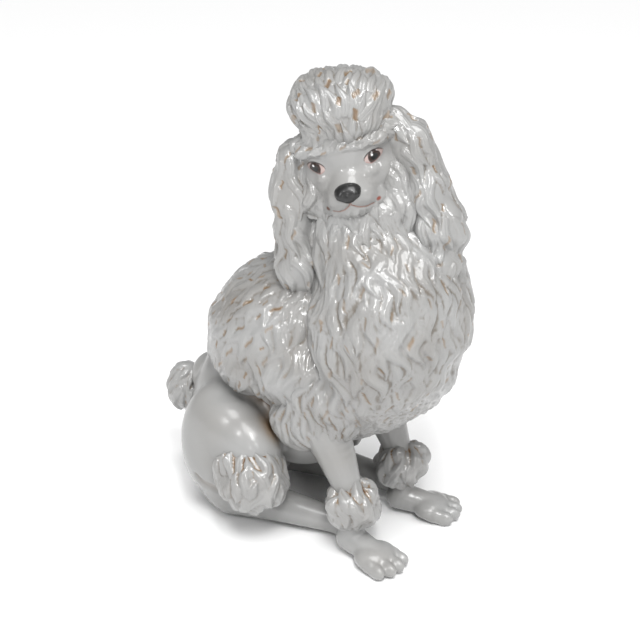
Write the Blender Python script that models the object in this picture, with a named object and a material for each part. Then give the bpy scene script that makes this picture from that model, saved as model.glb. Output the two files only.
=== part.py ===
"""Sitting poodle statue in glazed earthenware, built up from hollow and solid cast pieces luted together.

Metres, +Z up. The dog faces -Y, its left side is +X, and its feet and seat stand on z = 0.
Each piece is a closed skin blown out from a heart point over a few overlapping lobes.
"""

import math

import bpy
import bmesh
import numpy as np
from mathutils import Euler, Matrix, Vector

# ---- overall sizes -------------------------------------------------------------------------------
JOINT_GAP = 0.0003  # glaze line left between two luted pieces
WALL = 0.0065  # cast wall of the hollow pieces
FLOOR = 0.0  # the plane the feet and the seat stand on
CAVITY_SIDES = 14
CAVITY_RINGS = 10

# ---- mane jacket: chest, shoulders, loin, withers -----------------------------------------------
CHEST_AT = (0.0, -0.064, 0.238)
CHEST_SIZE = (0.090, 0.080, 0.112)
CHEST_TILT = 8.0
BRISKET_AT = (0.0, -0.014, 0.170)
BRISKET_SIZE = (0.083, 0.083, 0.066)
FRINGE_AT = (0.046, -0.004, 0.141)  # fur hanging round the top of each foreleg
FRINGE_SIZE = (0.031, 0.046, 0.032)
LOIN_AT = (0.0, 0.050, 0.212)
LOIN_SIZE = (0.082, 0.098, 0.077)
FLANK_AT = (0.0, 0.018, 0.192)
FLANK_SIZE = (0.086, 0.092, 0.070)
LOIN_TILT = -28.0
BIB_AT = (0.004, -0.048, 0.306)
BIB_SIZE = (0.066, 0.060, 0.084)
MANE_HEART = (0.0, -0.026, 0.236)

# ---- hindquarters -------------------------------------------------------------------------------
RUMP_AT = (0.0, 0.112, 0.090)
RUMP_SIZE = (0.058, 0.062, 0.096)
LOINS_AT = (0.0, 0.060, 0.110)
LOINS_SIZE = (0.050, 0.070, 0.052)
SEAT_VENT = 0.009  # radius of the firing vent under the seat
THIGH_PORT = 0.016  # radius of the air way from the rump into each thigh

# ---- head ---------------------------------------------------------------------------------------
HEAD_AT = (0.0, -0.020, 0.414)
HEAD_TURN = -64.0  # degrees about Z, towards the dog's right
HEAD_ROLL = -10.0  # degrees about the muzzle
SKULL_SIZE = (0.047, 0.046, 0.044)
CHEEK_SIZE = (0.050, 0.034, 0.036)
CHEEK_DROP = 0.018
MUZZLE_SIZE = (0.025, 0.036, 0.023)
MUZZLE_REACH = 0.036
MUZZLE_DROP = 0.026
TOPKNOT_SIZE = (0.051, 0.049, 0.037)
TOPKNOT_RISE = 0.046
TOPKNOT_OVER = -0.002

# ---- ears, in the head's own frame: across, forward, up -----------------------------------------
EAR_SIZE = (0.027, 0.036, 0.078)
EAR_TIP_SIZE = (0.028, 0.031, 0.040)
EAR_PORT = 0.008  # radius of the air way from the head into each ear
TOPKNOT_PORT = 0.016  # radius of the air way from the head into the topknot
RIGHT_EAR_AT = (-0.059, 0.006, -0.050)
RIGHT_EAR_TIP = (-0.064, 0.018, -0.104)
LEFT_EAR_AT = (0.063, 0.010, -0.052)
LEFT_EAR_TIP = (0.069, 0.030, -0.114)

# ---- forelegs -----------------------------------------------------------------------------------
FORE_APART = 0.050  # each foreleg from the middle plane
FORE_SET_BACK = 0.001  # the right foreleg stands this much behind the left
FORE_CUFF_AT = (-0.057, 0.059)
FORE_CUFF_SIZE = (0.0285, 0.0285, 0.0262)
FORE_LEAN = -0.030  # how far back the shaft leans from cuff to elbow
SHAFT_SIZE = (0.0155, 0.0165, 0.045)
ARM_SIZE = (0.021, 0.024, 0.045)
SHAFT_TOP = 0.132
PAW_TURN = 14.0  # toes turned out
PAW_HEEL = (0.0165, 0.019, 0.026)
PAW_PAD = (0.0235, 0.028, 0.0155)
PAW_REACH = 0.028
TOE_SIZE = (0.0074, 0.017, 0.0105)
TOE_APART = 0.0116
TOE_REACH = 0.053

# ---- hind legs ----------------------------------------------------------------------------------
HAUNCH_AT = (0.056, 0.106, 0.084)
HAUNCH_SIZE = (0.040, 0.044, 0.068)
KNEE_AT = (0.068, 0.064, 0.104)
KNEE_SIZE = (0.030, 0.042, 0.034)
HIND_CUFF_AT = (0.080, 0.048, 0.070)
HIND_CUFF_SIZE = (0.034, 0.040, 0.037)
HIND_FOOT_WIDTH = 0.031
HIND_FOOT_HEIGHT = 0.036
# both hind feet swing a little to the dog's left
LEFT_HEEL_AT = (0.056, 0.092)
LEFT_TOE_AT = (0.079, -0.044)
RIGHT_HEEL_AT = (-0.052, 0.092)
RIGHT_TOE_AT = (-0.026, -0.044)
HOCK_AT = (0.068, 0.070, 0.030)
HOCK_SIZE = (0.019, 0.024, 0.026)

# ---- tail ---------------------------------------------------------------------------------------
TAIL_AT = (0.0, 0.193, 0.104)
TAIL_SIZE = (0.024, 0.023, 0.030)
TAIL_ROOT_AT = (0.0, 0.172, 0.092)
TAIL_ROOT_SIZE = (0.015, 0.022, 0.014)

# ---- glazed finishes: colour, roughness ----------------------------------------------------------
GLAZE_WHITE = (0.72, 0.73, 0.72, 1.0)
GLAZE_CREAM = (0.70, 0.69, 0.64, 1.0)
GLAZE_GREY = (0.66, 0.68, 0.68, 1.0)
GLAZE_ROUGH = 0.12


def clear_scene():
    for obj in list(bpy.data.objects):
        bpy.data.objects.remove(obj)


# ---- lobes: centre, half sizes, axes --------------------------------------------------------------
def lobe(centre, size, tilt=(0.0, 0.0, 0.0)):
    """One ellipsoid of a blown skin: where it sits, its three half sizes and its tilt in degrees."""
    axes = Euler([math.radians(a) for a in tilt], "XYZ").to_matrix()
    return np.array(centre, float), np.array(size, float), np.array(axes)


def placed(part, matrix):
    """A lobe moved by a rigid matrix."""
    centre, size, axes = part
    turn = np.array(matrix.to_3x3())
    return turn @ centre + np.array(matrix.translation), size, turn @ axes


def on_side(part, side):
    """A lobe given for the left side, mirrored when side is -1."""
    centre, size, axes = part
    flip = np.diag([float(side), 1.0, 1.0])
    return flip @ centre, size, flip @ axes @ flip


def ray_reach(rays, heart, part, grow):
    """How far each ray from the heart runs before it leaves the lobe."""
    centre, size, axes = part
    half = size + grow
    start = ((heart - centre) @ axes) / half
    step = (rays @ axes) / half
    a = (step * step).sum(axis=1)
    b = step @ start
    inside = b * b - a * (start @ start - 1.0)
    far = (-b + np.sqrt(np.maximum(inside, 0.0))) / a
    return np.where(inside > 0.0, np.maximum(far, 0.0), 0.0)


def blown_points(rays, heart, parts, grow, blend):
    total = sum(np.exp(ray_reach(rays, heart, part, grow) / blend) for part in parts)
    return blend * np.log(np.maximum(total - (len(parts) - 1), 1.0001))


def blown(name, heart, parts, grow=0.0, blend=0.005, sides=28, rings=20, floor=None):
    """A closed skin round a heart point, over all the lobes, with soft valleys between them."""
    ball = bmesh.new()
    bmesh.ops.create_uvsphere(ball, u_segments=sides, v_segments=rings, radius=1.0)
    bmesh.ops.triangulate(ball, faces=ball.faces)
    rays = np.array([v.co for v in ball.verts])
    rays /= np.linalg.norm(rays, axis=1, keepdims=True)
    heart = np.array(heart, float)
    reach = blown_points(rays, heart, parts, grow, blend)
    if floor is not None:
        drop = np.where(rays[:, 2] < -1e-6, -rays[:, 2], 1e-6)
        reach = np.minimum(reach, (heart[2] - floor + max(grow, 0.0)) / drop)
    for vert, point in zip(ball.verts, heart + rays * reach[:, None], strict=True):
        vert.co = point
    mesh = bpy.data.meshes.new(name)
    ball.to_mesh(mesh)
    ball.free()
    obj = bpy.data.objects.new(name, mesh)
    bpy.context.scene.collection.objects.link(obj)
    return obj


class Form:
    """A blown skin that can be made again a little larger, to cut its own seat into a neighbour."""

    def __init__(self, name, heart, parts, **how):
        self.name, self.heart, self.parts, self.how = name, heart, parts, how

    def solid(self):
        return blown(self.name, self.heart, self.parts, **self.how)

    def seat(self):
        return blown("seat_" + self.name, self.heart, self.parts, grow=JOINT_GAP, **self.how)

    def cavity(self):
        how = dict(self.how, sides=CAVITY_SIDES, rings=CAVITY_RINGS)
        if how.get("floor") is not None:
            how["floor"] = how["floor"] + WALL
        return blown("cavity_" + self.name, self.heart, self.parts, grow=-WALL, **how)


def bore(name, foot, top, radius, sides=12):
    """A round cutter from foot to top."""
    foot, top = Vector(foot), Vector(top)
    run = top - foot
    place = Matrix.Translation((foot + top) / 2) @ run.to_track_quat("Z", "Y").to_matrix().to_4x4()
    rod = bmesh.new()
    bmesh.ops.create_cone(
        rod, segments=sides, radius1=radius, radius2=radius, depth=run.length, cap_ends=True, matrix=place
    )
    mesh = bpy.data.meshes.new(name)
    rod.to_mesh(mesh)
    rod.free()
    obj = bpy.data.objects.new(name, mesh)
    bpy.context.scene.collection.objects.link(obj)
    return obj


def cut(obj, cutter):
    """Takes the cutter out of the object, and the cutter out of the scene."""
    change = obj.modifiers.new("cut", "BOOLEAN")
    change.operation = "DIFFERENCE"
    change.solver = "EXACT"
    change.object = cutter
    with bpy.context.temp_override(object=obj, active_object=obj):
        bpy.ops.object.modifier_apply(modifier="cut")
    bpy.data.objects.remove(cutter)


def keep_largest(obj):
    """Drops the loose crumbs that a shallow cut can leave."""
    work = bmesh.new()
    work.from_mesh(obj.data)
    left, groups = set(work.verts), []
    while left:
        group, edge = set(), [next(iter(left))]
        while edge:
            vert = edge.pop()
            if vert in group:
                continue
            group.add(vert)
            edge.extend(e.other_vert(vert) for e in vert.link_edges)
        left -= group
        groups.append(group)
    biggest = max(groups, key=len)
    for group in groups:
        if group is not biggest:
            bmesh.ops.delete(work, geom=list(group), context="VERTS")
    work.to_mesh(obj.data)
    work.free()


def glaze(obj, colour, rough=GLAZE_ROUGH):
    """Each piece carries its own fired glaze."""
    paint = bpy.data.materials.new("glaze_" + obj.name)
    paint.use_nodes = True
    shader = paint.node_tree.nodes["Principled BSDF"]
    shader.inputs["Base Color"].default_value = colour
    shader.inputs["Roughness"].default_value = rough
    shader.inputs["Metallic"].default_value = 0.0
    obj.data.materials.clear()
    obj.data.materials.append(paint)
    for face in obj.data.polygons:
        face.use_smooth = True


# ---- the forms ----------------------------------------------------------------------------------
def jacket_form():
    parts = [
        lobe(CHEST_AT, CHEST_SIZE, (CHEST_TILT, 0, 0)),
        lobe(LOIN_AT, LOIN_SIZE, (LOIN_TILT, 0, 0)),
        lobe(FLANK_AT, FLANK_SIZE),
        lobe(BRISKET_AT, BRISKET_SIZE),
        on_side(lobe(FRINGE_AT, FRINGE_SIZE), 1),
        on_side(lobe(FRINGE_AT, FRINGE_SIZE), -1),
        lobe(BIB_AT, BIB_SIZE),
    ]
    return Form("mane_jacket", MANE_HEART, parts, blend=0.010, sides=28, rings=20)


def rump_form():
    parts = [lobe(RUMP_AT, RUMP_SIZE), lobe(LOINS_AT, LOINS_SIZE, (20, 0, 0))]
    heart = (0.0, RUMP_AT[1] - 0.020, RUMP_AT[2])
    return Form("rump", heart, parts, floor=FLOOR, sides=20, rings=16)


def head_frame():
    turn = Matrix.Rotation(math.radians(HEAD_TURN), 4, "Z")
    roll = Matrix.Rotation(math.radians(HEAD_ROLL), 4, "Y")
    return Matrix.Translation(HEAD_AT) @ turn @ roll


def in_head(across, forward, up):
    """A place given in the head's own frame."""
    return np.array(head_frame() @ Matrix.Translation((across, -forward, up)).translation)


def head_lobe(at, size, tilt=(0.0, 0.0, 0.0)):
    across, forward, up = at
    return placed(lobe((across, -forward, up), size, tilt), head_frame())


def head_form():
    parts = [
        head_lobe((0, 0, 0), SKULL_SIZE),
        head_lobe((0, 0.004, -CHEEK_DROP), CHEEK_SIZE),
        head_lobe((0, MUZZLE_REACH, -MUZZLE_DROP), MUZZLE_SIZE),
    ]
    return Form("head", in_head(0, 0.016, -0.016), parts, blend=0.006, sides=24, rings=16)


def topknot_form():
    at = (TOPKNOT_OVER, 0, TOPKNOT_RISE)
    return Form("topknot", in_head(*at), [head_lobe(at, TOPKNOT_SIZE)], sides=20, rings=12)


def ear_form(name, at, tip):
    parts = [head_lobe(at, EAR_SIZE), head_lobe(tip, EAR_TIP_SIZE)]
    middle = [(a + b) / 2 for a, b in zip(at, tip)]
    return Form(name, in_head(*middle), parts, blend=0.006, sides=16, rings=14)


def fore_y(side):
    return FORE_CUFF_AT[0] + (FORE_SET_BACK if side < 0 else 0.0)


def fore_cuff_form(side, tag):
    at = (side * FORE_APART, fore_y(side), FORE_CUFF_AT[1])
    return Form("fore_cuff_" + tag, at, [lobe(at, FORE_CUFF_SIZE)], sides=16, rings=10)


def foreleg_form(side, tag):
    low = np.array((side * FORE_APART, fore_y(side), FORE_CUFF_AT[1] + 0.010))
    high = np.array((side * FORE_APART, fore_y(side) - FORE_LEAN, SHAFT_TOP))
    lean = math.degrees(math.atan2(-(high - low)[1], (high - low)[2]))
    middle = (low + high) / 2
    parts = [lobe(middle, SHAFT_SIZE, (lean, 0, 0)), lobe(high, ARM_SIZE, (lean, 0, 0))]
    return Form("foreleg_" + tag, middle, parts, sides=14, rings=12)


def paw_parts(side):
    """A forepaw pointing along -Y from its heel at the origin, turned out to its own side."""
    parts = [lobe((0, 0.002, 0.024), PAW_HEEL), lobe((0, -PAW_REACH, 0.011), PAW_PAD, (-6, 0, 0))]
    for row in (-1.5, -0.5, 0.5, 1.5):
        ahead = TOE_REACH - 0.0035 * abs(row) ** 1.5
        parts.append(lobe((row * TOE_APART, -ahead, 0.008), TOE_SIZE, (-8, 0, row * 5.0)))
    place = Matrix.Translation((side * FORE_APART, fore_y(side), 0.0))
    place = place @ Matrix.Rotation(math.radians(side * PAW_TURN), 4, "Z")
    return [placed(part, place) for part in parts], place


def forepaw_form(side, tag):
    parts, place = paw_parts(side)
    heart = np.array(place @ Matrix.Translation((0, -0.017, 0.014)).translation)
    return Form("forepaw_" + tag, heart, parts, blend=0.0022, floor=FLOOR, sides=34, rings=16)


def thigh_form(side, tag):
    parts = [on_side(lobe(HAUNCH_AT, HAUNCH_SIZE), side)]
    parts.append(on_side(lobe(KNEE_AT, KNEE_SIZE, (30, 0, 0)), side))
    middle = [(a + b) / 2 for a, b in zip(HAUNCH_AT, KNEE_AT)]
    middle[0] *= side
    return Form("thigh_" + tag, middle, parts, blend=0.008, sides=20, rings=14)


def hind_cuff_form(side, tag):
    at = (side * HIND_CUFF_AT[0], HIND_CUFF_AT[1], HIND_CUFF_AT[2])
    return Form("hind_cuff_" + tag, at, [lobe(at, HIND_CUFF_SIZE)], sides=18, rings=12)


def hind_foot_form(side, tag):
    heel = np.array(LEFT_HEEL_AT if side > 0 else RIGHT_HEEL_AT)
    toe = np.array(LEFT_TOE_AT if side > 0 else RIGHT_TOE_AT)
    middle = (heel + toe) / 2
    length = float(np.linalg.norm(toe - heel))
    splay = math.degrees(math.atan2(*(heel - toe)))
    half = HIND_FOOT_WIDTH / 2
    up = HIND_FOOT_HEIGHT / 2
    parts = [
        lobe((*middle, up * 0.72), (half * 0.86, length / 2, up), (0, 0, -splay)),
        lobe((*(middle + (heel - middle) * 0.55), up), (half, length * 0.27, up * 1.25), (0, 0, -splay)),
    ]
    parts.append(on_side(lobe(HOCK_AT, HOCK_SIZE), side))
    for row in (-1, 0, 1):
        at = toe + np.array((row * 0.0095, 0.012 + 0.003 * abs(row)))
        parts.append(lobe((*at, 0.009), (0.0070, 0.0190, 0.0105), (0, 0, -splay)))
    heart = (middle[0], middle[1], up * 0.9)
    return Form("hind_foot_" + tag, heart, parts, blend=0.003, floor=FLOOR, sides=26, rings=16)


def tail_form():
    parts = [lobe(TAIL_AT, TAIL_SIZE), lobe(TAIL_ROOT_AT, TAIL_ROOT_SIZE, (30, 0, 0))]
    return Form("tail", TAIL_AT, parts, sides=16, rings=12)


# ---- assembly: each piece is cut back by the seats of the pieces luted over it --------------------
def limb_forms():
    """The six pieces of each side's legs, by side."""
    made = {}
    for side, tag in ((1, "left"), (-1, "right")):
        made[tag] = {
            "fore_cuff": fore_cuff_form(side, tag),
            "foreleg": foreleg_form(side, tag),
            "forepaw": forepaw_form(side, tag),
            "thigh": thigh_form(side, tag),
            "hind_cuff": hind_cuff_form(side, tag),
            "hind_foot": hind_foot_form(side, tag),
        }
    return made


def make(form, over=(), ports=(), hollow=False, colour=GLAZE_WHITE):
    """One finished piece: hollowed, opened by its ports, and seated against the pieces over it."""
    obj = form.solid()
    if hollow:
        cut(obj, form.cavity())
    for foot, top, radius in ports:
        cut(obj, bore("port", foot, top, radius))
    for other in over:
        cut(obj, other.seat())
    keep_largest(obj)
    glaze(obj, colour)
    return obj


def make_head_group(head, topknot, ears):
    middle = in_head(0, 0.0, 0.0)
    up = (middle, topknot.heart, TOPKNOT_PORT)
    sides = [(middle, ear.heart, EAR_PORT) for ear in ears]
    make(topknot, ports=[up], hollow=True, colour=GLAZE_CREAM)
    for ear, port in zip(ears, sides):
        make(ear, ports=[port], hollow=True, colour=GLAZE_CREAM)
    make(head, over=[topknot, *ears], ports=[up, *sides], hollow=True)


def make_legs(leg, jacket):
    make(leg["fore_cuff"], colour=GLAZE_CREAM)
    make(leg["foreleg"], over=[leg["fore_cuff"], jacket])
    make(leg["forepaw"], over=[leg["fore_cuff"]])
    make(leg["hind_cuff"], colour=GLAZE_CREAM)
    heart = leg["thigh"].heart
    port = ((0.0, heart[1], heart[2]), heart, THIGH_PORT)
    make(leg["thigh"], over=[leg["hind_cuff"], jacket], ports=[port], hollow=True)
    make(leg["hind_foot"], over=[leg["hind_cuff"], leg["thigh"], leg["forepaw"]])
    return port


def stand_on_origin():
    """Sets the middle of the figure's outer box on the origin, feet down."""
    pieces = [obj for obj in bpy.data.objects if obj.type == "MESH"]
    corners = np.array([vert.co for obj in pieces for vert in obj.data.vertices])
    low, high = corners.min(axis=0), corners.max(axis=0)
    shift = Matrix.Translation((-(low[0] + high[0]) / 2, -(low[1] + high[1]) / 2, -low[2]))
    for obj in pieces:
        obj.data.transform(shift)


def main():
    clear_scene()
    jacket, rump, head, topknot, tail = jacket_form(), rump_form(), head_form(), topknot_form(), tail_form()
    ears = [ear_form("ear_left", LEFT_EAR_AT, LEFT_EAR_TIP), ear_form("ear_right", RIGHT_EAR_AT, RIGHT_EAR_TIP)]
    legs = limb_forms()
    make_head_group(head, topknot, ears)
    make(jacket, over=[head, *ears], hollow=True)
    vent = ((RUMP_AT[0], RUMP_AT[1], FLOOR - 0.01), (RUMP_AT[0], RUMP_AT[1], 0.04), SEAT_VENT)
    ports = [vent] + [make_legs(leg, jacket) for leg in legs.values()]
    make(tail, colour=GLAZE_CREAM)
    over = [jacket, tail]
    for leg in legs.values():
        over += [leg["thigh"], leg["hind_cuff"], leg["hind_foot"]]
    make(rump, over=over, ports=ports, hollow=True, colour=GLAZE_GREY)
    stand_on_origin()


main()
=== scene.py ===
"""Sitting poodle in glazed ceramic: fur, face and glaze modelled over its fixed frame.

Sizes and places are in millimetres, in the frame of the figure's own lumps."""

import math

import bpy
import numpy as np
from mathutils import Euler, Matrix, Vector


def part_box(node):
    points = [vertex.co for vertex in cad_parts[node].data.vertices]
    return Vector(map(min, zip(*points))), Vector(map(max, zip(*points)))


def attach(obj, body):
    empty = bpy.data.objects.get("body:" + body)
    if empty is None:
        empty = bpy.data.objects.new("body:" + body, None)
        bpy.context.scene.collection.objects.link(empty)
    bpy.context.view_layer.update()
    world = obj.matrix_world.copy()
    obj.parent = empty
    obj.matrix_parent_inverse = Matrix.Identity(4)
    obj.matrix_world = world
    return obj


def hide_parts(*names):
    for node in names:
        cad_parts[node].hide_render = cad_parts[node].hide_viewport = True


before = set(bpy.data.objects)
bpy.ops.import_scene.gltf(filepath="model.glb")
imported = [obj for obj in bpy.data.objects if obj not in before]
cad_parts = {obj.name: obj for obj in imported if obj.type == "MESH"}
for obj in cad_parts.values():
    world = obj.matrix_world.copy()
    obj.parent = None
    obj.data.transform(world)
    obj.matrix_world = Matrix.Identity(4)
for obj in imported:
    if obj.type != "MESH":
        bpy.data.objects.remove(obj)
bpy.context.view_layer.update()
MM = 0.001
CUFF_LOW, CUFF_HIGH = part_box("fore_cuff_left")
SET_Y = ((CUFF_LOW + CUFF_HIGH) / 2).y / MM + 57.0

bl_info = {
    "name": "Glazed poodle",
    "version": (1, 0, 0),
    "blender": (4, 5, 0),
    "location": "3D View > Sidebar > Poodle",
    "description": "Builds the fur, the face and the glaze of a sitting ceramic poodle",
    "category": "Add Mesh",
}


# ---- settings a maker would change ---------------------------------------------------------------
def amount(name, description, default, least, most):
    """A plain share or multiple."""
    return bpy.props.FloatProperty(
        name=name, description=description, default=default, min=least, max=most, subtype="FACTOR"
    )


def length(name, description, default, least, most):
    """A length, given in millimetres."""
    return bpy.props.FloatProperty(
        name=name,
        description=description,
        default=default * MM,
        min=least * MM,
        max=most * MM,
        unit="LENGTH",
        subtype="DISTANCE",
    )


def swatch(name, description, default):
    """A colour."""
    return bpy.props.FloatVectorProperty(
        name=name, description=description, default=default, size=3, min=0, max=1, subtype="COLOR"
    )


class PoodleSizes(bpy.types.PropertyGroup):
    """Relief of the fur and the face."""

    mane_relief: amount("Mane relief", "Height of the mane's locks against the usual", 1.0, 0.2, 2.0)
    curl_relief: amount("Curl relief", "Height of the small curls against the usual", 1.0, 0.2, 2.0)
    softness: bpy.props.IntProperty(
        name="Glaze softness",
        description="How far the glaze rounds the modelling",
        default=1,
        min=0,
        max=6,
    )
    eye_width: length("Eye width", "Painted width of each eye", 19.4, 12, 30)
    nose_width: length("Nose width", "Width of the nose leather", 26.0, 15, 40)


class PoodleColours(bpy.types.PropertyGroup):
    """Glaze and painted colours."""

    glaze: swatch("White glaze", "Tin glaze over the whole figure", (0.290, 0.290, 0.286))
    # Painted shade: the hollow colour darkens creases and large hollows where shade falls, partly also where
    # the glaze pools.
    hollow: swatch("Hollow shade", "Grey where the glaze pools in hollows", (0.14, 0.122, 0.10))
    # The ochre and umber also colour the painted shade where the hindquarters run in under the mane.
    ochre: swatch("Ochre stain", "Golden brown wiped into the grooves", (0.20, 0.118, 0.045))
    umber: swatch("Umber stain", "Darker brown in the deepest grooves", (0.095, 0.045, 0.02))
    nose: swatch("Nose", "Nose leather", (0.006, 0.006, 0.006))
    iris: swatch("Iris", "Painted iris", (0.022, 0.009, 0.005))
    lips: swatch("Lips", "Painted mouth line", (0.21, 0.07, 0.035))
    rough: amount("Glaze roughness", "Roughness of the fired glaze", 0.36, 0.02, 0.6)


def sizes():
    return bpy.context.scene.poodle_sizes


def colours():
    return bpy.context.scene.poodle_colours


# ---- clay: balls pressed together ----------------------------------------------------------------
HEAD = Matrix.Translation((0.0, -20.0, 414.0)) @ Matrix.Rotation(math.radians(-64), 4, "Z")
HEAD = HEAD @ Matrix.Rotation(math.radians(-10), 4, "Y")
FACE = HEAD @ Matrix.Translation((-2.5, 0.0, -7.0)) @ Matrix.Rotation(math.radians(-4.5), 4, "Y")
BODY = Matrix.Identity(4)
WORLD = Matrix.Scale(MM, 4) @ Matrix.Translation((0, SET_Y, 0))


def head_at(across, forward, up):
    """A place given in the head's own frame."""
    return (across, -forward, up)


def ball(at, half, tilt=(0, 0, 0), place=BODY, sides=32):
    """One ball of clay, pressed to three half sizes and tilted in degrees."""
    bpy.ops.mesh.primitive_uv_sphere_add(segments=sides, ring_count=sides * 5 // 8, radius=1.0)
    clay = bpy.context.object
    turn = Euler([math.radians(a) for a in tilt], "XYZ")
    clay.matrix_world = WORLD @ place @ Matrix.LocRotScale(Vector(at), turn, Vector(half))
    return clay


def limb(places, radii, place=BODY, press=1.0):
    """A roll of clay through some places, with a radius at each."""
    made = []
    for a, b, ra, rb in zip(places, places[1:], radii, radii[1:]):
        a, b = Vector(a), Vector(b)
        steps = max(2, int((b - a).length / (0.35 * min(ra, rb))))
        for i in range(steps + 1):
            k = i / steps
            r = ra + (rb - ra) * k
            made.append(ball(a.lerp(b, k), (r, r, r * press), place=place, sides=16))
    return made


def mirrored(lumps, side):
    """The lumps of the dog's left side, or their mirror images."""
    return [((side * x, y, z), half, (tx, side * ty, side * tz)) for (x, y, z), half, (tx, ty, tz) in lumps]


def press_together(parts, name, grain, softening, finer):
    """Joins the lumps into one skin, rounds the joints, and makes it fine enough to model."""
    bpy.ops.object.select_all(action="DESELECT")
    for part in parts:
        part.select_set(True)
    clay = parts[0]
    bpy.context.view_layer.objects.active = clay
    bpy.ops.object.join()
    bpy.ops.object.transform_apply(location=True, rotation=True, scale=True)
    clay.name = clay.data.name = name
    skin = clay.modifiers.new("skin", "REMESH")
    skin.mode, skin.voxel_size = "VOXEL", grain * MM
    soften = clay.modifiers.new("soften", "SMOOTH")
    soften.factor, soften.iterations = 0.5, softening
    if finer:
        fine = clay.modifiers.new("fine", "SUBSURF")
        fine.levels = fine.render_levels = finer
    for modifier in [m.name for m in clay.modifiers]:
        bpy.ops.object.modifier_apply(modifier=modifier)
    bpy.ops.object.shade_smooth()
    return clay


# ---- modelling on a skin -------------------------------------------------------------------------
def unit(rows):
    return rows / np.maximum(np.linalg.norm(rows, axis=-1, keepdims=True), 1e-9)


def smoothstep(low, high, x):
    k = np.clip((x - low) / (high - low), 0, 1)
    return k * k * (3 - 2 * k)


def clouds(at, size, seed):
    """Soft random patches, about -1 to 1, as wide as size."""
    rng = np.random.default_rng(seed)
    ways = unit(rng.normal(size=(12, 3))) * (2 * np.pi / size) * rng.uniform(0.5, 1.3, (12, 1))
    return np.sin(at @ ways.T + rng.uniform(0, 6.28, 12)).sum(axis=1) / 3.0


CELL = 16.0


class Skin:
    """The points of a piece, with the tools that lift, press and stain them."""

    def __init__(self, clay):
        self.clay = clay
        mesh = clay.data
        self.count = len(mesh.vertices)
        flat = np.empty(self.count * 3, np.float32)
        mesh.vertices.foreach_get("co", flat)
        self.at = flat.reshape(-1, 3).astype(np.float64) / MM - (0, SET_Y, 0)
        ends = np.empty(len(mesh.edges) * 2, np.int32)
        mesh.edges.foreach_get("vertices", ends)
        self.ends = ends.reshape(-1, 2)
        self.touching = np.maximum(np.bincount(ends, minlength=self.count), 1)
        self.stain = np.zeros(self.count)
        self.strand = np.zeros(self.count)
        self.lift = np.zeros(self.count)
        self.turn()

    def turn(self):
        """Reads the normals of the skin as it stands."""
        self.cells = None
        self.write()
        flat = np.empty(self.count * 3, np.float32)
        self.clay.data.vertex_normals.foreach_get("vector", flat)
        self.normal = flat.reshape(-1, 3).astype(np.float64)

    def write(self):
        flat = ((self.at + (0, SET_Y, 0)) * MM).astype(np.float32)
        self.clay.data.vertices.foreach_set("co", flat.ravel())
        self.clay.data.update()

    def eased(self, values, times, share=0.5):
        """Values averaged with their neighbours."""
        if values.ndim == 2:
            return np.stack([self.eased(column, times, share) for column in values.T], axis=1)
        a, b = self.ends[:, 0], self.ends[:, 1]
        for _ in range(times):
            total = np.bincount(a, values[b], self.count) + np.bincount(b, values[a], self.count)
            values = values + share * (total / self.touching - values)
        return values

    def raise_by(self, height, ease=1):
        """Moves the skin out along its soft normals."""
        along = unit(self.eased(self.normal, 6))
        self.at = self.at + along * self.eased(height, ease)[:, None]
        self.turn()

    def hollows(self, times):
        """How far each point lies below its surroundings."""
        return ((self.eased(self.at, times) - self.at) * self.normal).sum(axis=1)

    def near(self, at, reach):
        """The points within reach of a place, found through a grid of cells."""
        if self.cells is None:
            self.cells = {}
            keys = np.floor(self.at / CELL).astype(int)
            order = np.lexsort(keys.T)
            edges = np.nonzero(np.any(np.diff(keys[order], axis=0), axis=1))[0] + 1
            for group in np.split(order, edges):
                self.cells[tuple(keys[group[0]])] = group
        low = np.floor((np.array(at) - reach) / CELL).astype(int)
        high = np.floor((np.array(at) + reach) / CELL).astype(int) + 1
        around = [
            (x, y, z)
            for x in range(low[0], high[0])
            for y in range(low[1], high[1])
            for z in range(low[2], high[2])
        ]
        found = [self.cells[key] for key in around if key in self.cells]
        if not found:
            return np.zeros(0, int)
        found = np.concatenate(found)
        return found[((self.at[found] - at) ** 2).sum(axis=1) < reach * reach]


def guide_fields(guides, at):
    """Flow, length, half width, height and curl at some points, blended from the nearest guides."""
    home = np.array([g[0] for g in guides], float)
    flow = unit(np.array([g[1] for g in guides], float))
    size = np.array([g[2] for g in guides], float)
    away = ((at[:, None, :] - home[None]) ** 2).sum(axis=2)
    share = 1.0 / (away + 300.0) ** 2
    share /= share.sum(axis=1, keepdims=True)
    return share @ flow, share @ size


def lay_out(skin, guides, seed, tries, jitter, apart, where=None):
    """Spreads locks over a skin: places, frames and sizes, none too close to another."""
    rng = np.random.default_rng(seed)
    picks = rng.permutation(skin.count)
    if where is not None:
        picks = picks[where[picks]]
    picks = picks[:tries]
    at, out = skin.at[picks], skin.normal[picks]
    flow, size = guide_fields(guides, at)
    flow = unit(flow - (flow * out).sum(axis=1, keepdims=True) * out)
    side = np.cross(out, flow)
    angle = rng.normal(0, jitter, len(picks))[:, None]
    flow, side = flow * np.cos(angle) + side * np.sin(angle), side * np.cos(angle) - flow * np.sin(angle)
    size = size * rng.uniform(0.8, 1.2, (len(picks), 1))
    kept = []
    room = np.zeros((0, 11))
    for i in range(len(picks)):
        away = at[i] - room[:, 0:3]
        along = (away * room[:, 3:6]).sum(axis=1) / (room[:, 9] * apart[0])
        across = (away * room[:, 6:9]).sum(axis=1) / (room[:, 10] * apart[1])
        deep = (away**2).sum(axis=1) < (1.5 * room[:, 9]) ** 2
        if np.any(deep & (along**2 + across**2 < 1.0)):
            continue
        kept.append(i)
        room = np.vstack([room, np.concatenate([at[i], flow[i], side[i], [size[i, 0], size[i, 1]]])])
    return at[kept], flow[kept], side[kept], out[kept], size[kept], rng


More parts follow.
